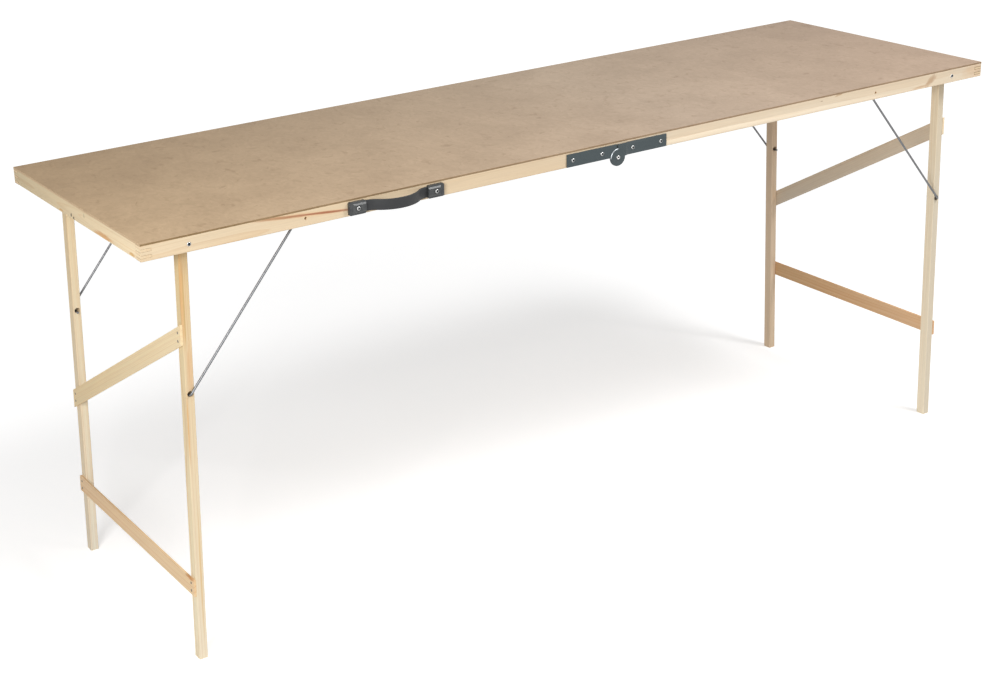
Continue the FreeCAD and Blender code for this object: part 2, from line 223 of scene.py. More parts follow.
# %% Floor
floor_size = 12.0
near_table, open_floor = 0.9, 3.5
near_glow, open_glow = 0.47, 0.8
bm = bmesh.new()
bmesh.ops.create_grid(bm, x_segments=1, y_segments=1, size=floor_size)
floor_mesh = bpy.data.meshes.new("floor")
bm.to_mesh(floor_mesh)
bm.free()
floor = bpy.data.objects.new("floor", floor_mesh)
scene.collection.objects.link(floor)

floor_paper = bpy.data.materials.new("floor_paper")
floor_paper.use_nodes = True
paper = floor_paper.node_tree
matt = add(paper, "BsdfDiffuse", {"Color": (0.9, 0.9, 0.9, 1.0)})
floor_place = add(paper, "TexCoord", {}).outputs["Object"]
away = vector_calc(paper, "LENGTH", floor_place)
lift = spread(paper, away, near_table, open_floor, near_glow, open_glow)
lift_seen = calc(paper, "MULTIPLY", lift, seen_directly(paper))
glow = add(paper, "Emission", {"Color": white, "Strength": lift_seen})
both = add(paper, "AddShader", {0: matt.outputs[0], 1: glow.outputs[0]})
fill(paper.nodes["Material Output"], {"Surface": both.outputs[0]})
floor_mesh.materials.append(floor_paper)
print("floor", 2 * floor_size, "metres across")

# %% [markdown]
# ## Pine
# The rails, legs and slats are planed pine. On the real table the stripes on a face are the tree's growth
# rings, cut lengthwise: pale spring wood that darkens slowly to a thin amber line and then starts again.
# A stripe image would smear round the corners. Here the rings are a solid: each piece is cut out of its
# own log, whose centre line lies a few centimetres off to one side, so all its faces and its end grain agree.

# %% Pine helpers
def new_material(name):
    """A node material and the two things that the finishes need of it."""
    material = bpy.data.materials.new(name)
    material.use_nodes = True
    return material, material.node_tree, material.node_tree.nodes["Principled BSDF"]


def cloud(tree, place, stretch, detail=2.0, distortion=0.0):
    """A soft random pattern with this many lumps to the metre in each direction."""
    scaled = add(tree, "Mapping", {"Vector": place, "Scale": stretch}).outputs[0]
    inputs = {"Vector": scaled, "Scale": 1.0, "Detail": detail, "Distortion": distortion}
    return add(tree, "TexNoise", inputs).outputs["Fac"]


def ramp(tree, factor, stops):
    """A grey curve through (place, level) stops."""
    node = add(tree, "ValToRGB", {0: factor})
    points = node.color_ramp.elements
    while len(points) < len(stops):
        points.new(0.5)
    for point, (place, level) in zip(points, stops):
        point.position = place
        point.color = (level, level, level, 1.0)
    return node.outputs[0]


def spot(tree, place, mark):
    """1 inside a flattened ball in the wood, fading to 0 at its ragged rim."""
    ball = {"Vector": place, "Location": mark["at"], "Rotation": mark["turn"], "Scale": mark["half"]}
    inside = add(tree, "Mapping", ball, vector_type="TEXTURE").outputs[0]
    reach = vector_calc(tree, "LENGTH", inside)
    ragged = cloud(tree, inside, (2.2, 2.2, 2.2), detail=3.0)
    edge = calc(tree, "MULTIPLY_ADD", ragged, 0.9, reach)
    return spread(tree, edge, 0.75, 1.45, 1.0, 0.0, interpolation_type="SMOOTHSTEP")


def joint_line(tree, place, log):
    """1 in the fine dark line round the end of each finger of a corner joint."""
    line = log["line"]
    height = split(tree, place)["Z"]
    layer = calc(tree, "DIVIDE", calc(tree, "SUBTRACT", height, log["bottom"]), log["finger"])
    from_middle = calc(tree, "ABSOLUTE", calc(tree, "SUBTRACT", calc(tree, "FRACT", layer), 0.5))
    share = line / log["finger"]
    between = spread(tree, from_middle, 0.5 - share, 0.5 - share / 2)
    depth = vector_calc(tree, "DOT_PRODUCT", place, log["inward"])
    at_shoulder = spread(tree, depth, log["shoulder"] - line, log["shoulder"] - line / 2)
    return calc(tree, "MAXIMUM", between, at_shoulder)


print("pine helpers ready")

# %% [markdown]
# The finish itself goes outwards in steps: find the place in the log, bend the log a little, count rings,
# colour one ring, then lay over it the things that every ring shares: painted light and shade from end to end
# and on the faces that look left, fibres, slow changes of tone, the tone of the end grain, and any knots.
# The fibres also roughen the surface.
# On a rail the end grain is the tips of its corner fingers, and a thin dark line shows where they are glued.

# %% Pine
late_wood = ((0.0, 0.0), (0.45, 0.1), (0.84, 0.8), (0.94, 1.0), (1.0, 0.0))
glue_line = tone(132, 102, 70)


def pine(name, log, rings, tints_and_painted_light, marks=()):
    """Planed pine from a log with rings in it, with light and shade painted into its tone from end to end and
    on its left-facing faces.
    """
    material, tree, shader = new_material(name)
    coords = add(tree, "TexCoord", {})
    place = coords.outputs["Object"]
    lying = log["along"].to_track_quat("X", "Y").to_euler()
    centred = {"Vector": place, "Location": log["pith"], "Rotation": lying}
    local = add(tree, "Mapping", centred, vector_type="TEXTURE").outputs[0]
    sway = cloud(tree, local, (2.5, 16.0, 16.0)).node.outputs["Color"]
    bent = vector_calc(tree, "MULTIPLY_ADD", sway, (0.0, 0.009, 0.009), local)
    section = vector_calc(tree, "MULTIPLY", bent, (0.0, 1.0, 1.0))
    radius = vector_calc(tree, "LENGTH", section)
    count = calc(tree, "DIVIDE", radius, rings["spacing"])
    uneven = add(tree, "TexNoise", {"W": calc(tree, "MULTIPLY", count, 0.3)}, noise_dimensions="1D")
    count = calc(tree, "ADD", count, calc(tree, "MULTIPLY", uneven.outputs["Fac"], 1.6))
    spots = [spot(tree, place, mark) for mark in marks]
    for inside, mark in zip(spots, marks):
        count = calc(tree, "ADD", count, calc(tree, "MULTIPLY", inside, mark["bend"]))

    late = ramp(tree, calc(tree, "FRACT", count), late_wood)
    patchy = cloud(tree, local, (3.0, 30.0, 30.0))
    strength = spread(tree, patchy, 0.3, 0.7, 0.45 * rings["contrast"], rings["contrast"])
    wood = blend(tree, calc(tree, "MULTIPLY", late, strength), rings["pale"], rings["amber"])
    # painted light and shade: the near and far tints make a piece darker or lighter from one end to the other
    far = spread(tree, split(tree, local)["X"], -log["half"], log["half"])
    wood = tinted(tree, wood, blend(tree, far, (*tints_and_painted_light["near"], 1.0), (*tints_and_painted_light["far"], 1.0)))
    # painted light: faces that look left get their own tint, lighter or darker as the lamps fall on them
    painted_side_light = spread(tree, split(tree, coords.outputs["Normal"])["X"], -0.3, -0.8)
    wood = blend(tree, painted_side_light, wood, tinted(tree, wood, (*tints_and_painted_light["side"], 1.0)))

    fibre = cloud(tree, local, (14.0, 900.0, 900.0), detail=3.0)
    wood = tinted(tree, wood, spread(tree, fibre, 0.25, 0.75, 0.93, 1.04))
    slow = cloud(tree, local, (1.6, 12.0, 12.0))
    warm = spread(tree, slow, 0.4, 0.75)
    wood = blend(tree, calc(tree, "MULTIPLY", warm, 0.35), wood, tone(255, 238, 208), "MULTIPLY")
    for inside, mark in zip(spots, marks):
        wood = blend(tree, calc(tree, "MULTIPLY", inside, mark["depth"]), wood, mark["colour"])

    facing = vector_calc(tree, "DOT_PRODUCT", coords.outputs["Normal"], log["along"])
    end = spread(tree, calc(tree, "ABSOLUTE", facing), 0.5, 0.9)
    wood = blend(tree, end, wood, tinted(tree, wood, (*tints_and_painted_light["tip"], 1.0)))
    if "finger" in log:
        glued = calc(tree, "MULTIPLY", end, joint_line(tree, place, log))
        wood = blend(tree, glued, wood, glue_line)
    height = calc(tree, "ADD", fibre, calc(tree, "MULTIPLY", late, 0.4))
    bump = add(tree, "Bump", {"Height": height, "Strength": 0.22, "Distance": 0.25 * MM})
    fill(shader, {"Base Color": wood, "Roughness": spread(tree, fibre, 0.0, 1.0, 0.5, 0.72),
                  "Specular IOR Level": 0.3, "Normal": bump.outputs[0]})
    return material


print("pine ready")

# %% [markdown]
# Sixteen pieces are cut from pine. The grain of each runs along its length, which for the splayed legs and
# the sloping braces isn't along an axis of the frame.

# %% Which way the grain runs
splay = math.radians(2.0)
brace_slope = math.radians(29.4)
X, Y, Z = Vector((1, 0, 0)), Vector((0, 1, 0)), Vector((0, 0, 1))
leg_down = {side: Vector((sign * math.sin(splay), 0.0, -math.cos(splay)))
            for side, sign in (("left", -1), ("right", 1))}
lean_across = Vector((0.0, math.cos(brace_slope), -math.sin(brace_slope)))
grain = {}
for side in ("left", "right"):
    for face in ("front", "back"):
        grain[f"{side}_{face}_rail"] = X
        grain[f"{side}_{face}_leg"] = leg_down[side]
    grain[f"{side}_end_rail"] = Y
    grain[f"{side}_centre_rail"] = Y
    grain[f"{side}_diagonal_brace"] = lean_across
    grain[f"{side}_stretcher"] = Y
print("pine pieces", len(grain))

# %% [markdown]
# Knots, streaks and stains tell one board from another. Those that the photograph shows are listed by piece,
# in metres, each as a flattened ball in the wood: where it is, how far it reaches each way, its colour, how
# it is turned, how far it bends the rings and how strong it is.

# %% Marks in the wood
no_turn = Vector()
leg_lean = Y * splay
rail_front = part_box("left_front_rail")[0].y
rail_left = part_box("left_end_rail")[0].x
leg_pin = sum(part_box("left_front_leg_pin"), Vector()) / 2
leg_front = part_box("left_front_leg")[0].y
stretcher_low, stretcher_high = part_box("left_stretcher")


def on_leg(across, height):
    """A place on the front of the left front leg, so far right of its middle, at a height."""
    return (leg_pin.x - (leg_pin.z - height) * math.tan(splay) + across * MM, leg_front, height)


def mark(at, half, colour, turn=no_turn, bend=0.0, depth=0.9):
    """A knot, streak or stain: where it is, how far it reaches, and how it changes the wood."""
    return {"at": at, "half": half, "colour": colour, "turn": turn, "bend": bend, "depth": depth}


marks = {
    "left_front_rail": [
        mark((-0.612, rail_front, 0.7303), (0.100, 0.012, 0.0058), tone(232, 194, 150), Y * 0.09, 0.3, 0.5),
        mark((-0.654, rail_front, 0.7338), (0.062, 0.012, 0.0034), tone(176, 130, 94), Y * 0.08, 0.3, 0.9),
        mark((-0.576, rail_front, 0.7272), (0.086, 0.010, 0.0028), tone(168, 108, 78), Y * 0.085, 0.3, 0.97),
    ],
    "right_front_rail": [
        mark((0.7535, rail_front, 0.7245), (0.021, 0.014, 0.0085), tone(194, 160, 126), Y * -0.6, 0.5, 0.8),
        mark((0.7270, rail_front, 0.7165), (0.026, 0.012, 0.0030), tone(208, 172, 136), Y * -0.05, 0.3, 0.7),
        mark((0.517, rail_front, 0.7365), (0.014, 0.010, 0.0030), tone(196, 164, 128), Y * -0.2, 0.3, 0.8),
        mark((0.473, rail_front, 0.7310), (0.004, 0.006, 0.0010), tone(150, 116, 84), Y * 0.1, 0.0, 0.8),
        mark((0.875, rail_front, 0.7250), (0.045, 0.020, 0.0200), tone(226, 190, 150), no_turn, 0.0, 0.5),
    ],
    "left_end_rail": [
        mark((rail_left, -0.112, 0.7165), (0.010, 0.050, 0.0056), tone(216, 166, 112), no_turn, 0.3, 0.9),
        mark((rail_left, 0.062, 0.7155), (0.008, 0.012, 0.0028), tone(214, 170, 112), no_turn, 0.3, 0.9),
        mark((rail_left, -0.222, 0.7160), (0.008, 0.014, 0.0034), tone(218, 172, 108), no_turn, 0.3, 0.9),
        mark((rail_left, -0.038, 0.7300), (0.006, 0.0045, 0.0050), tone(196, 178, 144), no_turn, 0.5, 0.8),
        mark((rail_left, 0.018, 0.7178), (0.004, 0.0034, 0.0048), tone(60, 54, 42), X * 0.5, 0.0, 0.95),
        mark((rail_left, 0.008, 0.7150), (0.004, 0.0044, 0.0034), tone(60, 54, 42), X * 0.3, 0.0, 0.95),
    ],
    "left_front_leg": [
        mark(on_leg(-6.5, 0.632), (0.0068, 0.0060, 0.105), tone(216, 166, 104), leg_lean, 0.4, 0.6),
        mark(on_leg(-3.0, 0.612), (0.0016, 0.0040, 0.080), tone(194, 164, 106), leg_lean, 0.2, 0.7),
        mark(on_leg(2.5, 0.512), (0.0070, 0.0050, 0.065), tone(222, 178, 132), leg_lean, 0.4, 0.5),
        mark(on_leg(-6.0, 0.415), (0.0020, 0.0030, 0.085), tone(214, 164, 104), leg_lean, 0.2, 0.7),
        mark(on_leg(2.2, 0.150), (0.0024, 0.0040, 0.150), tone(220, 182, 122), leg_lean, 0.2, 0.6),
    ],
    "left_stretcher": [
        mark((stretcher_low.x, stretcher_low.y + 0.014, stretcher_high.z), (0.006, 0.020, 0.0060),
             tone(206, 146, 90), no_turn, 0.3, 0.85),
    ],
}

print("marks", sum(len(group) for group in marks.values()))

# %% [markdown]
# No two boards look alike, so each gets its own log. Its centre line is set off to a side of the piece that
# changes from one to the next, by steps that never come round to the same place, and slants a little, so that
# the stripes taper. Boards out of sight are plain. The others say how much redder, greener and bluer they are
# at the near and far end, on the left side and at the tips, and how strong and wide apart their rings are.
# The tips are the end grain's own tone. The near, far and left-side tints are partly the wood's own tone and
# mostly painted light and shade: darker leg tops under the rails, darker back ends and back pieces in the
# table's shadow, and lighter faces where the lamps fall.

# %% One log for each piece
rail_pale, rail_amber = tone(241, 219, 184), tone(222, 182, 134)
leg_pale, leg_amber = tone(240, 217, 180), tone(214, 164, 108)
heartwood = tone(204, 138, 78)
plain = {"near": (0.94, 0.96, 1.0), "far": (0.94, 0.96, 1.0), "side": (1.0, 1.0, 1.0),
         "tip": (0.99, 0.95, 0.90), "glue_width": 0.55}
# near, far and side: partly wood tone, mostly painted light and shade; tip: the end grain's own tone
boards = {
    "left_front_rail": {"near": (0.85, 0.85, 0.86), "far": (0.86, 0.86, 0.90), "tip": (1.22, 1.20, 1.16)},
    "right_front_rail": {"near": (0.96, 1.01, 1.13), "far": (0.96, 1.02, 1.17)},
    "left_end_rail": {"near": (1.06, 1.07, 1.06), "far": (0.79, 0.80, 0.75), "tip": (0.82, 0.80, 0.80)},
    "right_end_rail": {"glue_width": 1.1},
    "left_front_leg": {"near": (0.80, 0.76, 0.64), "far": (1.02, 1.13, 1.30), "side": (1.06, 1.08, 1.05),
                       "angle": 0.0, "spacing": 4.6, "contrast": 0.6, "amber": heartwood},
    "left_back_leg": {"near": (1.02, 1.05, 1.01), "far": (1.12, 1.30, 1.62), "side": (0.92, 0.90, 0.88),
                      "contrast": 0.5},
    "right_front_leg": {"near": (0.87, 0.96, 1.12), "far": (0.97, 1.10, 1.34), "side": (1.20, 1.18, 1.14),
                        "contrast": 0.4},
    "right_back_leg": {"near": (0.90, 0.90, 1.00), "far": (0.90, 0.90, 1.00), "contrast": 0.5},
    "left_diagonal_brace": {"near": (1.06, 1.11, 1.11), "far": (1.01, 1.03, 0.98), "contrast": 0.4},
    "right_diagonal_brace": {"near": (0.83, 0.88, 1.02), "far": (0.79, 0.88, 1.10), "contrast": 0.35,
                             "tip": (1.40, 1.38, 1.26)},
    "left_stretcher": {"near": (1.02, 0.98, 0.94), "far": (1.03, 1.00, 1.03)},
    "right_stretcher": {"near": (1.00, 0.84, 0.76), "far": (0.73, 0.63, 0.55)},
}
fingers = 5
slant = 0.008
turn_step = 2.4
nearest_pith, pith_step = 34.0, 9.0
closest_rings, ring_step = 2.6, 0.35
for number, (name, along) in enumerate(grain.items()):
    own = {**plain, **boards.get(name, {})}
    low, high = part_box(name)
    across = X if along is not X else Y
    upward = along.cross(across).normalized()
    angle = own.get("angle", turn_step * number)
    distance = (nearest_pith + pith_step * (number % 4)) * MM
    pith = (low + high) / 2 + (across * math.cos(angle) + upward * math.sin(angle)) * distance
    slanted = along + across * slant * math.sin(3.1 * number) + upward * slant * math.cos(1.7 * number)
    log = {"along": slanted.normalized(), "pith": pith, "half": (high - low).length / 2}
    is_rail = name.endswith("rail")
    if is_rail:
        tray = sum(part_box(name.split("_")[0] + "_top_panel"), Vector()) / 2
        inward = across * math.copysign(1.0, (tray - pith).dot(across))
        log.update(bottom=low.z, finger=(high.z - low.z) / fingers, line=own["glue_width"] * MM,
                   inward=inward, shoulder=max(low.dot(inward), high.dot(inward)))
    rings = {"spacing": own.get("spacing", closest_rings + ring_step * (number % 3)) * MM,
             "contrast": own.get("contrast", 0.5 if is_rail else 0.8),
             "pale": rail_pale if is_rail else leg_pale,
             "amber": own.get("amber", rail_amber if is_rail else leg_amber)}
    finish = pine("pine_" + name, log, rings, own, marks.get(name, ()))
    nodes[name].material_slots[0].material = finish
    print(finish.name, "rings every", round(rings["spacing"] / MM, 2), "mm")

# %% [markdown]
# ## Hardboard
# The top is pressed wood fibre: smooth and brown above, with clouds and short flecks of fibre, a darker
# sawn edge, and the print of a wire screen underneath, where the wet board was drained.
# One material does all three by asking which way each face looks. The top isn't even: it is warm and light
# at the left front, and cooler and darker towards the right and the back, so a tint is laid over it first;
# it is partly the board's own tone and partly painted light that falls off towards the back.

# %% Hardboard
wire_pitch = 1.6 * MM


def top_tone_and_painted_falloff(tree, parts):
    """How much redder, greener and bluer the board is from place to place: partly its own tone, partly
    painted light falling off towards the back.
    """
    inner = spread(tree, parts["X"], -0.9, 0.1)
    outer = spread(tree, parts["X"], 0.2, 0.9)
    back = spread(tree, parts["Y"], -0.25, 0.27)
    left = blend(tree, back, (1.12, 1.10, 1.04, 1.0), (0.83, 0.80, 0.74, 1.0))
    middle = blend(tree, back, (1.06, 1.03, 1.00, 1.0), (1.04, 1.02, 0.97, 1.0))
    right = blend(tree, back, (1.02, 0.95, 0.91, 1.0), (0.93, 0.88, 0.85, 1.0))
    return blend(tree, inner, left, blend(tree, outer, middle, right))


def hardboard(name):
    """Brown fibreboard: mottled top, dark edge with painted light on the ends, screen-printed underside."""
    material, tree, shader = new_material(name)
    coords = add(tree, "TexCoord", {})
    place = coords.outputs["Object"]
    clouds = cloud(tree, place, (9.0, 8.0, 14.0), detail=3.0, distortion=0.4)
    tufts = cloud(tree, place, (75.0, 48.0, 90.0), detail=3.0, distortion=1.5)
    dust = cloud(tree, place, (600.0, 600.0, 600.0), detail=2.0)
    mottle = calc(tree, "ADD", calc(tree, "MULTIPLY", clouds, 0.48), calc(tree, "MULTIPLY", tufts, 0.38))
    mottle = calc(tree, "ADD", mottle, calc(tree, "MULTIPLY", dust, 0.14))
    amount = spread(tree, mottle, 0.34, 0.66)
    parts = split(tree, place)
    along = spread(tree, parts["X"], -0.9, 0.2)
    deep = blend(tree, along, tone(180, 154, 124), tone(174, 155, 136))
    light = blend(tree, along, tone(203, 177, 146), tone(196, 177, 158))
    board = tinted(tree, blend(tree, amount, deep, light), top_tone_and_painted_falloff(tree, parts))

    flecks = cloud(tree, place, (150.0, 200.0, 330.0), detail=2.0, distortion=1.0)
    board = blend(tree, spread(tree, flecks, 0.66, 0.76, 0.0, 0.35), board, tone(140, 112, 84))
    smudges = cloud(tree, place, (60.0, 42.0, 85.0), detail=3.0, distortion=0.8)
    smudge = spread(tree, smudges, 0.6, 0.72, 0.0, 0.4)
    board = blend(tree, smudge, board, tinted(tree, board, tone(212, 204, 198)))

    looks = split(tree, coords.outputs["Normal"])
    edge = spread(tree, calc(tree, "ABSOLUTE", looks["Z"]), 0.9, 0.4)
    sawn = blend(tree, along, blend(tree, amount, tone(124, 100, 66), tone(152, 126, 90)),
                 blend(tree, amount, tone(146, 120, 94), tone(172, 146, 118)))
    # painted light: the edges at the two ends are made lighter than the long edges, as if lit from the side
    sawn = blend(tree, calc(tree, "ABSOLUTE", looks["X"]), sawn, tone(212, 184, 148))
    board = blend(tree, edge, board, sawn)

    wires = 2 * math.pi / wire_pitch
    warp = calc(tree, "SINE", calc(tree, "MULTIPLY", parts["X"], wires))
    weft = calc(tree, "SINE", calc(tree, "MULTIPLY", parts["Y"], wires))
    below = spread(tree, looks["Z"], -0.4, -0.9)
    screen = calc(tree, "MULTIPLY", calc(tree, "MULTIPLY", warp, weft), below)
    height = calc(tree, "ADD", calc(tree, "MULTIPLY", tufts, 0.4), screen)
    bump = add(tree, "Bump", {"Height": height, "Strength": 0.25, "Distance": 0.3 * MM})
    fill(shader, {"Base Color": board, "Roughness": spread(tree, amount, 0.0, 1.0, 0.6, 0.72),
                  "Specular IOR Level": 0.2, "Normal": bump.outputs[0]})
    return material


brown_board = hardboard("hardboard")
for side in ("left", "right"):
    nodes[side + "_top_panel"].material_slots[0].material = brown_board
print("hardboard on two panels")

# %% [markdown]
# ## Metal and plastic
# The fittings are small and dark, so what tells them apart is how they shine: the hinges have a satin
# slate paint, the screws and rivets are bright zinc, the stays are dull drawn wire, and the handle is a
# matt moulded strap held by two smoother caps. All share one recipe: two close colours and two levels
# of roughness, mixed by a pattern of so many lumps to the metre, and a bump from the same pattern.

# %% Metal and plastic
def speckled(name, dark, light, lumps, smooth, rough, bump, metallic=0.0, specular=0.5):
    """A finish whose colour and shine vary a little over a fine random pattern."""
    material, tree, shader = new_material(name)
    place = add(tree, "TexCoord", {}).outputs["Object"]
    pattern = cloud(tree, place, (lumps,) * 3, detail=3.0)
    amount = spread(tree, pattern, 0.3, 0.7)
    relief = add(tree, "Bump", {"Height": pattern, "Strength": 0.3, "Distance": bump * MM})
    fill(shader, {"Base Color": blend(tree, amount, dark, light),
                  "Roughness": spread(tree, amount, 0.0, 1.0, smooth, rough), "Metallic": metallic,
                  "Specular IOR Level": specular, "Normal": relief.outputs[0]})
    return material


hinge_paint = speckled("hinge_paint", tone(52, 63, 66), tone(61, 72, 75), lumps=900.0,
                       smooth=0.36, rough=0.48, bump=0.03)
zinc = speckled("zinc", tone(176, 177, 176), tone(212, 212, 210), lumps=600.0,
                smooth=0.2, rough=0.32, bump=0.02, metallic=1.0)
drawn_wire = speckled("drawn_wire", tone(106, 107, 109), tone(126, 127, 129), lumps=300.0,
                      smooth=0.34, rough=0.44, bump=0.01, metallic=1.0)
nail_iron = speckled("nail_iron", tone(78, 72, 66), tone(104, 96, 88), lumps=700.0,
                     smooth=0.4, rough=0.55, bump=0.02)
strap_plastic = speckled("strap_plastic", tone(45, 46, 47), tone(52, 53, 54), lumps=1400.0,
                         smooth=0.46, rough=0.58, bump=0.06, specular=0.36)
cap_gloss = speckled("cap_gloss", tone(48, 50, 52), tone(70, 72, 72), lumps=140.0,
                     smooth=0.36, rough=0.40, bump=0.002)
print("metal and plastic finishes ready")

# %% [markdown]
# The hinge strips are painted, but the upper rim of the round lobe rubs on the other strip each time the
# table folds, so bare steel shows there. The screws and rivets are bright except in their recesses, which are
# painted dark as shade. Both are laid over the finish that is there already: one by which way a face looks
# and how near it is to the hinge's axis, the other by a number that a piece carries on its own points.

# %% Bare edges and painted shade
lobe_radius = 15.5 * MM
across_hinge = X + Z


def lay_over(material, share, colour, bare=False):
    """Put a second colour over a finish where the share says so, as bare metal if wanted."""
    tree = material.node_tree
    shader = tree.nodes["Principled BSDF"]
    under = shader.inputs["Base Color"].links[0].from_socket
    fill(shader, {"Base Color": blend(tree, share, under, colour)})
    if bare:
        fill(shader, {"Metallic": share})


steel = hinge_paint.node_tree
steel_coords = add(steel, "TexCoord", {})
facing_out = split(steel, steel_coords.outputs["Normal"])["Y"]
rolled = spread(steel, calc(steel, "ABSOLUTE", facing_out), 0.985, 0.9)
axis_place = sum(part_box("front_hinge_rivet"), Vector()) / 2
about_axis = vector_calc(steel, "SUBTRACT", steel_coords.outputs["Object"], axis_place)
from_axis = vector_calc(steel, "LENGTH", vector_calc(steel, "MULTIPLY", about_axis, across_hinge))
on_lobe = spread(steel, from_axis, lobe_radius + 0.3 * MM, lobe_radius + 0.9 * MM, 1.0, 0.0)
upper = spread(steel, split(steel, about_axis)["Z"], -1.5 * MM, 1.5 * MM)
bare_rim = calc(steel, "MULTIPLY", calc(steel, "MULTIPLY", rolled, on_lobe), upper)
lay_over(hinge_paint, bare_rim, tone(192, 197, 200), bare=True)
# painted shade: zinc is darkened where its points carry this number, in the screws' cross and the rivets'
# hollow ends
recess_shade = add(zinc.node_tree, "Attribute", {}, attribute_name="recess_shade").outputs["Fac"]
lay_over(zinc, recess_shade, tone(58, 62, 64))
fitting_finishes = {"plate": hinge_paint, "stay": drawn_wire, "spacer": zinc, "nails": nail_iron}
for name, frame_piece in nodes.items():
    kind = name.split("_")[-1]
    if kind in fitting_finishes:
        frame_piece.material_slots[0].material = fitting_finishes[kind]
print("materials", len(bpy.data.materials))

# %% [markdown]
# ## Fittings
# The screws, rivets and handle are small but dark against pale wood, so the eye goes to them, and the frame
# has them only as plain solids. Each is modelled again in its place, with the shape that its making gives it.
# Every one ends the same way: merge its points, turn its faces outwards, shade it smooth except at sharp
# edges, give it its finish, and let it stand for the frame's piece and ride on the same half.

# %% Fitting helper
weld = 0.002 * MM


def fit(bm, name, node, finish, sharp=35.0):
    """Make a mesh into the piece that stands for a frame piece."""
    bmesh.ops.remove_doubles(bm, verts=bm.verts, dist=weld)
    bmesh.ops.recalc_face_normals(bm, faces=bm.faces)
    for face in bm.faces:
        face.smooth = True
    mesh = bpy.data.meshes.new(name)
    bm.to_mesh(mesh)
    bm.free()
    mesh.set_sharp_from_angle(angle=math.radians(sharp))
    mesh.materials.append(finish)
    piece = bpy.data.objects.new(name, mesh)
    scene.collection.objects.link(piece)
    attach(piece, nodes[node]["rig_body"])
    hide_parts(node)
    print(name, "faces", len(mesh.polygons))
    return piece


def pull(bm, ring):
    """Pull a loop of edges out into a strip of faces, and return the strip's far loop."""
    strip = bmesh.ops.extrude_edge_only(bm, edges=ring)["geom"]
    return [item for item in strip if isinstance(item, bmesh.types.BMEdge) and item.is_boundary]


def points_of(ring):
    """The points of a loop of edges, each once."""
    return list({point: None for edge in ring for point in edge.verts})


def round_edges(bm, edges, offset, segments):
    """Bevel some edges by an offset in millimetres."""
    bmesh.ops.bevel(bm, geom=edges, offset=offset * MM, offset_type="OFFSET", segments=segments, profile=0.5,
                    affect="EDGES", material=-1)


def stand(seat, outward, turn=0.0):
    """The move that takes a fitting drawn upright in millimetres to its seat, facing outward."""
    facing = outward.to_track_quat("Z", "Y").to_matrix().to_4x4()
    return Matrix.Translation(seat) @ facing @ Matrix.Rotation(turn, 4, "Z") @ Matrix.Scale(MM, 4)


print("fitting helpers ready")

# %% [markdown]
# ## Eased boards and strips
# A planed rail has a small bevel on every edge, which catches a thin line of light, and draws the fine lines
# of the finger joints. A steel strip has one as wide, and a sawn panel a finer one. The frame's pieces have
# the right outlines, so copies of them are enough: the loose triangles are merged and the flat ones joined,
# which leaves only real edges. A Bevel modifier would round the drilled holes of a rail too, and a bevel
# round a hole crosses the long flat faces that touch it. So the edges are picked: sharp ones, and on a rail
# none as short as the pieces of a hole's rim.

# %% Eased boards and strips
frame_weld = 0.01 * MM
flat_within = math.radians(0.5)
sharp_from = math.radians(40.0)
rim_piece = 1.5 * MM
easing = {"rail": 0.3, "panel": 0.1, "strip": 0.35, "pressing": 0.3}


def merged_copy(node):
    """The mesh of a frame piece, its loose triangles merged and the flat ones joined."""
    bm = bmesh.new()
    bm.from_mesh(nodes[node].data)
    bmesh.ops.remove_doubles(bm, verts=bm.verts, dist=frame_weld)
    bmesh.ops.dissolve_limit(bm, angle_limit=flat_within, verts=bm.verts, edges=bm.edges)
    return bm


def eased(node, name, width, shortest=0.0):
    """A copy of a frame piece in its own finish, with its sharp edges rounded, apart from very short ones."""
    bm = merged_copy(node)
    edges = [edge for edge in bm.edges
             if edge.calc_length() > shortest and edge.calc_face_angle(0.0) > sharp_from]
    round_edges(bm, edges, width, 2)
    fit(bm, name, node, nodes[node].material_slots[0].material, sharp=20.0)


for node in grain:
    if node.endswith("rail"):
        eased(node, node.replace("_rail", "_planed_rail"), easing["rail"], rim_piece)
for side in ("left", "right"):
    eased(side + "_top_panel", side + "_pressed_panel", easing["panel"])
for face in ("front", "back"):
    eased(face + "_hinge_left_plate", face + "_hinge_plain_strip", easing["strip"])

# %% [markdown]
# ## Screws
# A wood screw has a round head with a cross pressed into it. A round head with a cross cut out of it by a
# Boolean would work, but leaves untidy faces. Here the cross comes first: a grid of nine squares without its
# four corners, as the recess's floor. Its outline is pulled up as the walls, then outwards over the head,
# in under it and down the shank to the point, so the whole screw is one clean skin.

# %% Cross-headed screw
head_profile = ((2.6, 1.42), (3.05, 1.12), (3.36, 0.66), (3.5, 0.16), (3.5, 0.0))
shank_profile = ((1.75, 0.0), (1.75, -11.0), (0.25, -14.0))
recess_floor = {"slot": 0.5, "arm": 1.5, "level": 0.3}
recess_mouth = {"slot": 0.82, "arm": 2.35, "level": 1.5}


def widen(value, slots, arms):
    """Move a coordinate of the cross so that its slot and arm get new widths."""
    size = abs(value)
    if size <= slots[0]:
        moved = size * slots[1] / slots[0]
    else:
        moved = slots[1] + (size - slots[0]) * (arms[1] - slots[1]) / (arms[0] - slots[0])
    return math.copysign(moved, value)


def reshape(ring, slots, arms, level):
    """Give every point of a cross-shaped loop its new place."""
    for point in ring:
        point.co = (widen(point.co.x, slots, arms), widen(point.co.y, slots, arms), level)


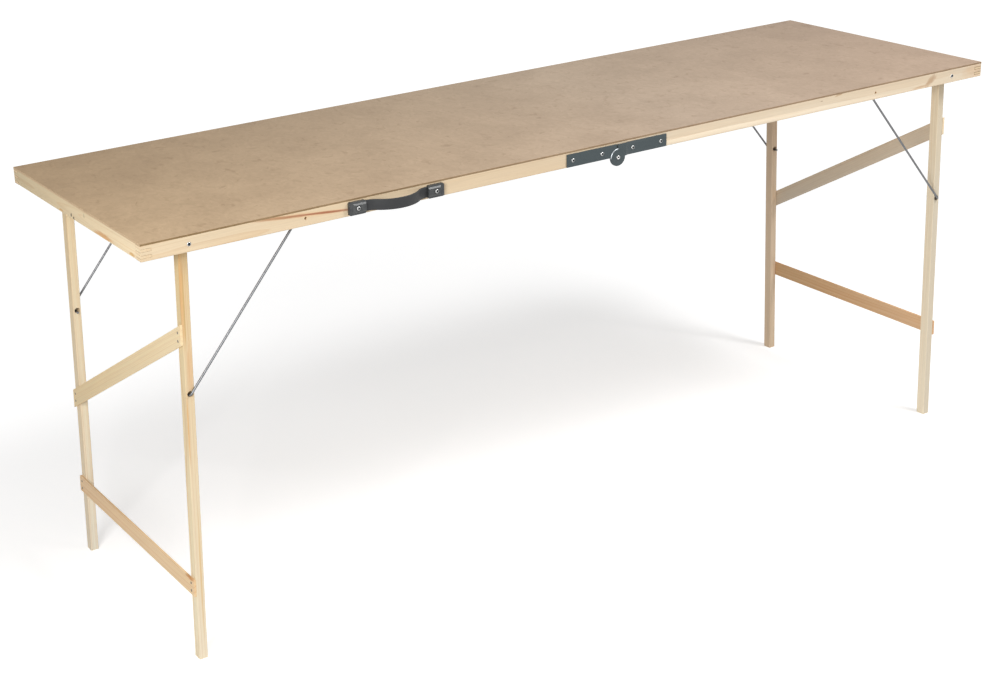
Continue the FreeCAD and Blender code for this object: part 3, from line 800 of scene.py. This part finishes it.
def cross_screw():
    """One screw, drawn upright in millimetres with its seat at the origin."""
    bm = bmesh.new()
    painted_shade_layer = bm.verts.layers.float.new("recess_shade")
    bmesh.ops.create_grid(bm, x_segments=3, y_segments=3, size=recess_floor["arm"])
    corners = [face for face in bm.faces
               if min(abs(c) for c in face.calc_center_median().xy) > recess_floor["slot"]]
    bmesh.ops.delete(bm, geom=corners, context="FACES")
    bmesh.ops.subdivide_edges(bm, edges=[edge for edge in bm.edges if edge.is_boundary], cuts=3)
    # painted shade: the floor of the cross, and below it its mouth, carry a number that darkens the zinc
    # there
    for point in bm.verts:
        point.co.z = recess_floor["level"]
        point[painted_shade_layer] = 1.0
    ring = pull(bm, [edge for edge in bm.edges if edge.is_boundary])
    reshape(points_of(ring), (recess_floor["slot"], recess_mouth["slot"]),
            (recess_floor["arm"], recess_mouth["arm"]), recess_mouth["level"])
    for point in points_of(ring):
        point[painted_shade_layer] = 0.85
    for radius, level in head_profile + shank_profile:
        ring = pull(bm, ring)
        for point in points_of(ring):
            point.co = (*(point.co.xy.normalized() * radius), level)
            point[painted_shade_layer] = 0.0
    bmesh.ops.edgeloop_fill(bm, edges=ring)
    mesh = bpy.data.meshes.new("cross_screw")
    bm.to_mesh(mesh)
    bm.free()
    return mesh


one_screw = cross_screw()
print("one screw has", len(one_screw.polygons), "faces")

# %% [markdown]
# Ten such screws are needed, in three groups. Each group is one mesh into which the drawn screw is copied
# and moved to its seat, every copy turned a little further, because no two screws stop at the same angle.

# %% Screws in their places
screw_groups = {"left_hinge_screws": (-Y, Y), "right_hinge_screws": (-Y, Y), "handle_screws": (-Y,)}
head_height = 1.8 * MM
screw_turn, turn_between = 0.3, 1.1
for node, faces in screw_groups.items():
    low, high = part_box(node)
    radius = (high.z - low.z) / 2
    bm = bmesh.new()
    for x in (low.x + radius, high.x - radius):
        for outward in faces:
            y = low.y + head_height if outward is not Y else high.y - head_height
            already = len(bm.verts)
            bm.from_mesh(one_screw)
            bm.verts.ensure_lookup_table()
            seat = Vector((x, y, (low.z + high.z) / 2))
            bmesh.ops.transform(bm, matrix=stand(seat, outward, screw_turn), verts=bm.verts[already:])
            screw_turn += turn_between
    fit(bm, node.replace("screws", "cross_screws"), node, zinc)
bpy.data.meshes.remove(one_screw)

# %% [markdown]
# ## Rivets and pins
# The two strips of a hinge turn on a hollow rivet, whose end is rolled over into a ring with a dark hole
# in its middle. The legs turn on longer rivets of the same kind, which go through rail, bush and leg and end
# in a low round head inside. Both are round all over, so half the outline, spun once about the axis, gives
# the whole.

# %% Rolled rivets and pins
def turned(half_outline, shaded_count, seat, outward):
    """A round piece spun from half its outline, whose first points carry painted shade."""
    bm = bmesh.new()
    painted_shade_layer = bm.verts.layers.float.new("recess_shade")
    line = [bm.verts.new((radius, 0.0, level)) for radius, level in half_outline]
    for point in line[:shaded_count]:
        point[painted_shade_layer] = 1.0
    half = line + [bm.edges.new(pair) for pair in zip(line, line[1:])]
    bmesh.ops.spin(bm, geom=half, cent=(0.0, 0.0, 0.0), axis=(0.0, 0.0, 1.0), angle=2 * math.pi, steps=40,
                   use_merge=True)
    bmesh.ops.transform(bm, matrix=stand(seat, outward), verts=bm.verts)
    return bm


rivet_outline = ((0.0, -0.9), (1.15, -0.9), (1.3, -0.6), (1.35, 0.7), (1.62, 1.22), (2.15, 1.52),
                 (2.75, 1.46), (3.3, 1.08), (3.65, 0.52), (3.75, 0.12), (3.72, 0.0), (2.5, 0.0),
                 (2.5, -3.15), (3.75, -4.15), (0.0, -4.15))
rolled_end = ((0.0, -0.7), (2.0, -0.7), (2.2, -0.5), (2.3, 0.1), (2.5, 0.55), (2.9, 0.78), (3.3, 0.62),
              (3.55, 0.25), (3.6, 0.0), (3.0, 0.0))
low_head = ((3.0, 2.0), (5.0, 2.0), (4.75, 1.3), (3.9, 0.62), (2.4, 0.16), (0.0, 0.0))
rivet_height, pin_height = 1.6 * MM, 0.8 * MM
# painted shade: the first points of each outline lie in the hollow end, which is darkened
shaded_points = 4


def seat_of(node, outward, height):
    """Where a round piece's rolled end begins: in from the frame piece's outermost place by its height."""
    low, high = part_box(node)
    y = low.y + height if outward.y < 0 else high.y - height
    return Vector(((low.x + high.x) / 2, y, (low.z + high.z) / 2))


for face, outward in (("front", -Y), ("back", Y)):
    node = face + "_hinge_rivet"
    rivet = turned(rivet_outline, shaded_points, seat_of(node, outward, rivet_height), outward)
    fit(rivet, face + "_hinge_rolled_rivet", node, zinc)
    for side in ("left", "right"):
        node = f"{side}_{face}_leg_pin"
        low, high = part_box(node)
        length = (high.y - low.y - pin_height) / MM
        outline = rolled_end + tuple((radius, level - length) for radius, level in low_head)
        pin = turned(outline, shaded_points, seat_of(node, outward, pin_height), outward)
        fit(pin, f"{side}_{face}_leg_rolled_pin", node, zinc)

# %% [markdown]
# ## Outer hinge strips
# The outer strip of each hinge is a pressing. Its round lobe has a rolled rim, which catches the light as a
# thin bright arc. In a merged copy of the frame's strip the lobe's outer rim alone gets a wide round bevel.
# A modifier would round all edges alike, so it only eases the others.

# %% Outer hinge strips
rim_roll = 1.4
rim_slack, face_slack = 0.2 * MM, 0.05 * MM
for face in ("front", "back"):
    node = face + "_hinge_right_plate"
    low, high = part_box(node)
    outermost = low.y if face == "front" else high.y
    bm = merged_copy(node)
    rim = []
    for edge in bm.edges:
        spokes = [(point.co - axis_place) * across_hinge for point in edge.verts]
        round_lobe = all(abs(spoke.length - lobe_radius) < rim_slack for spoke in spokes)
        outer = all(abs(point.co.y - outermost) < face_slack for point in edge.verts)
        if outer and round_lobe and edge.calc_face_angle() > sharp_from:
            rim.append(edge)
    round_edges(bm, rim, rim_roll, 4)
    print("rim edges", len(rim))
    strip = fit(bm, face + "_hinge_pressed_strip", node, hinge_paint)
    others = strip.modifiers.new("other edges", "BEVEL")
    others.width = easing["pressing"] * MM
    others.segments = 2
    others.limit_method = "ANGLE"
    others.angle_limit = math.radians(50.0)
    others.use_clamp_overlap = False

# %% [markdown]
# ## Handle caps
# Each end of the handle sits under a smooth moulded cap: a low plate with a raised panel on the strap's side,
# whose sloped edge shines as one clean band, a groove round the screw and a slot for the strap.
# A Boolean would leave untidy faces at the panel and the slot, so planes mark both out on the cap's faces.
# Two helpers do that: one finds the front face again after each change, and one opens the slot.

# %% Cap helpers
corner_radius = 3.0
cut_slack = 0.001 * MM


def front_face(bm):
    """The largest face that looks straight out from the rail."""
    bm.normal_update()
    return max((face for face in bm.faces if face.normal.y < -0.99), key=lambda face: face.calc_area())


def cut_slot(bm, inward, end, middle, depth, half_width):
    """Open the wall that faces the strap, from the rail up to a depth."""
    def behind_end(face):
        """How far a face lies behind the cap's end."""
        return (end - face.calc_center_median().x) * inward

    near = [face for face in bm.faces
            if behind_end(face) < (corner_radius + 0.2) * MM and abs(face.normal.y) < 0.1]
    planes = ((Y * depth, Y), (Z * (middle + half_width), Z), (Z * (middle - half_width), Z))
    for place, normal in planes:
        parts = list({item: None for face in near for item in (face, *face.edges, *face.verts)})
        cut = bmesh.ops.bisect_plane(bm, geom=parts, dist=cut_slack, plane_co=place, plane_no=normal)
        near = [item for item in cut["geom"] if isinstance(item, bmesh.types.BMFace)]
    opening = []
    for face in near:
        centre = face.calc_center_median()
        in_slot = centre.y > depth and abs(centre.z - middle) < half_width
        if in_slot and behind_end(face) < 0.2 * corner_radius * MM:
            opening.append(face)
    bmesh.ops.delete(bm, geom=opening, context="FACES")


print("cap helpers ready")

# %% [markdown]
# A block is bevelled at its corners and rim. The panel is marked out on its front and raised by an inset,
# whose end on the strap's side is moved back out to the cap's edge. The panel's top makes way for a ring,
# which is pulled in as the groove and the screw's hole. A Solidify modifier gives the wall at the end.

# %% Handle caps
panel = {"far_end": 9.0, "half_height": 7.9, "slope": 2.6, "rise": 2.17}
rim_radius, panel_radius = 0.8, 0.4
groove_radius = 4.6
groove_profile = ((4.4, 0.4), (4.15, 0.45), (3.9, 0.0), (2.0, 0.0))
slot_depth, slot_clear = 3.3 * MM, 0.4 * MM
wall_thickness = 1.4 * MM
strap_low, strap_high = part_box("handle_strap")
slot_half = (strap_high.z - strap_low.z) / 2 + slot_clear
for side, inward in (("left", 1), ("right", -1)):
    node = f"handle_{side}_cap"
    low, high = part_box(node)
    face_y = low.y
    low.y += panel["rise"] * MM
    middle, size = (low + high) / 2, high - low
    bm = bmesh.new()
    bmesh.ops.create_cube(bm, size=1.0, matrix=Matrix.Translation(middle) @ Matrix.Diagonal((*size, 1.0)))
    bm.normal_update()
    bmesh.ops.delete(bm, geom=[face for face in bm.faces if face.normal.y > 0.9], context="FACES_ONLY")
    upright = [edge for edge in bm.edges if abs((edge.verts[0].co - edge.verts[1].co).y) > 0.9 * size.y]
    round_edges(bm, upright, corner_radius, 6)
    round_edges(bm, front_face(bm).edges[:], rim_radius, 2)
    half_height = Z * panel["half_height"] * MM
    for place, normal in ((middle - X * inward * panel["far_end"] * MM, X), (middle + half_height, Z),
                          (middle - half_height, Z)):
        front = front_face(bm)
        parts = [front, *front.edges, *front.verts]
        bmesh.ops.bisect_plane(bm, geom=parts, dist=cut_slack, plane_co=place, plane_no=normal)
    bmesh.ops.inset_region(bm, faces=[front_face(bm)], thickness=panel["slope"] * MM,
                           depth=panel["rise"] * MM, use_even_offset=True)
    top = min(bm.faces, key=lambda face: face.calc_center_median().y)
    near_end = max(point.co.x * inward for point in top.verts)
    for point in top.verts:
        if point.co.x * inward > near_end - rim_radius * MM:
            point.co.x += inward * panel["slope"] * MM
    round_edges(bm, top.edges[:], panel_radius, 2)
    top = min(bm.faces, key=lambda face: face.calc_center_median().y)
    print("raised panel", round(top.calc_area() / MM ** 2), "square millimetres")
    front_loop = top.edges[:]
    bmesh.ops.delete(bm, geom=[top], context="FACES_ONLY")
    upturn = Matrix.Translation((middle.x, face_y, middle.z)) @ Matrix.Rotation(math.radians(90.0), 4, "X")
    circle = bmesh.ops.create_circle(bm, segments=32, radius=groove_radius * MM, matrix=upturn)["verts"]
    ring = list({edge: None for point in circle for edge in point.link_edges})
    bmesh.ops.triangle_fill(bm, edges=front_loop + ring, use_beauty=True)
    for radius, sunk in groove_profile:
        ring = pull(bm, ring)
        for point in points_of(ring):
            spoke = Vector((point.co.x - middle.x, 0.0, point.co.z - middle.z)).normalized() * radius * MM
            point.co = Vector((middle.x, face_y + sunk * MM, middle.z)) + spoke
    bm.normal_update()
    end = high.x if inward > 0 else low.x
    cut_slot(bm, inward, end, middle.z, high.y - slot_depth, slot_half)
    cap = fit(bm, f"handle_{side}_moulded_cap", node, cap_gloss, sharp=25.0)
    wall = cap.modifiers.new("wall", "SOLIDIFY")
    wall.thickness = wall_thickness
    wall.offset = -1.0
    cap.modifiers.new("flat shading of flat faces", "WEIGHTED_NORMAL").keep_sharp = True

# %% [markdown]
# ## Handle strap
# The strap is a moulded band with rounded edges. It lies flat under each cap and bows out between them to
# leave room for a hand. A curve with a bevel could draw it, but a swept section keeps its exact width:
# a small rounded rectangle is pulled straight, spun out round one arc, back round the bow, and so on.

# %% Handle strap
def sweep(bm, face, move=None, centre=None, angle=0.0, steps=1):
    """Carry the section on, straight or round a centre, and return the section at the far end."""
    if move is not None:
        made = bmesh.ops.extrude_face_region(bm, geom=[face])["geom"]
        ahead = [item for item in made if isinstance(item, bmesh.types.BMVert)]
        bmesh.ops.translate(bm, verts=ahead, vec=move)
    else:
        made = bmesh.ops.spin(bm, geom=[face], cent=centre, axis=Z, angle=angle, steps=steps)["geom_last"]
    return next(item for item in made if isinstance(item, bmesh.types.BMFace))


left_cap, right_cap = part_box("handle_left_cap"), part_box("handle_right_cap")
rail_face = strap_high.y
thick, edge_radius = 3.0 * MM, 1.1 * MM
bow = strap_high.y - strap_low.y - thick
root_radius = 30.0 * MM
half_span = (right_cap[0].x - left_cap[1].x) / 2
handle_middle = (right_cap[0].x + left_cap[1].x) / 2
both_radii = (half_span ** 2 + bow ** 2) / (2 * bow)
bow_radius = both_radii - root_radius
bend = math.asin(half_span / both_radii)
straight = handle_middle - half_span - strap_low.x
strap_z = (strap_low.z + strap_high.z) / 2

bm = bmesh.new()
start = Matrix.Translation((strap_low.x, rail_face - thick / 2, strap_z))
across_strap = Matrix.Rotation(math.radians(90.0), 4, "Y")
section = start @ across_strap @ Matrix.Diagonal((strap_high.z - strap_low.z, thick, 1.0, 1.0))
bmesh.ops.create_grid(bm, x_segments=1, y_segments=1, size=0.5, matrix=section)
bmesh.ops.bevel(bm, geom=bm.verts[:], offset=edge_radius, offset_type="OFFSET", segments=4, profile=0.5,
                affect="VERTICES", material=-1)
runs = [
    {"move": X * straight},
    {"centre": (handle_middle - half_span, rail_face - root_radius, strap_z), "angle": -bend, "steps": 12},
    {"centre": (handle_middle, rail_face - bow + bow_radius, strap_z), "angle": 2 * bend, "steps": 32},
    {"centre": (handle_middle + half_span, rail_face - root_radius, strap_z), "angle": -bend, "steps": 12},
    {"move": X * straight},
]
end_face = bm.faces[:][0]
for number, run in enumerate(runs):
    next_face = sweep(bm, end_face, **run)
    if number:
        bmesh.ops.delete(bm, geom=[end_face], context="FACES_ONLY")
    end_face = next_face
print("strap bends", round(math.degrees(bend), 1), "degrees at each root")
fit(bm, "handle_moulded_strap", "handle_strap", strap_plastic)
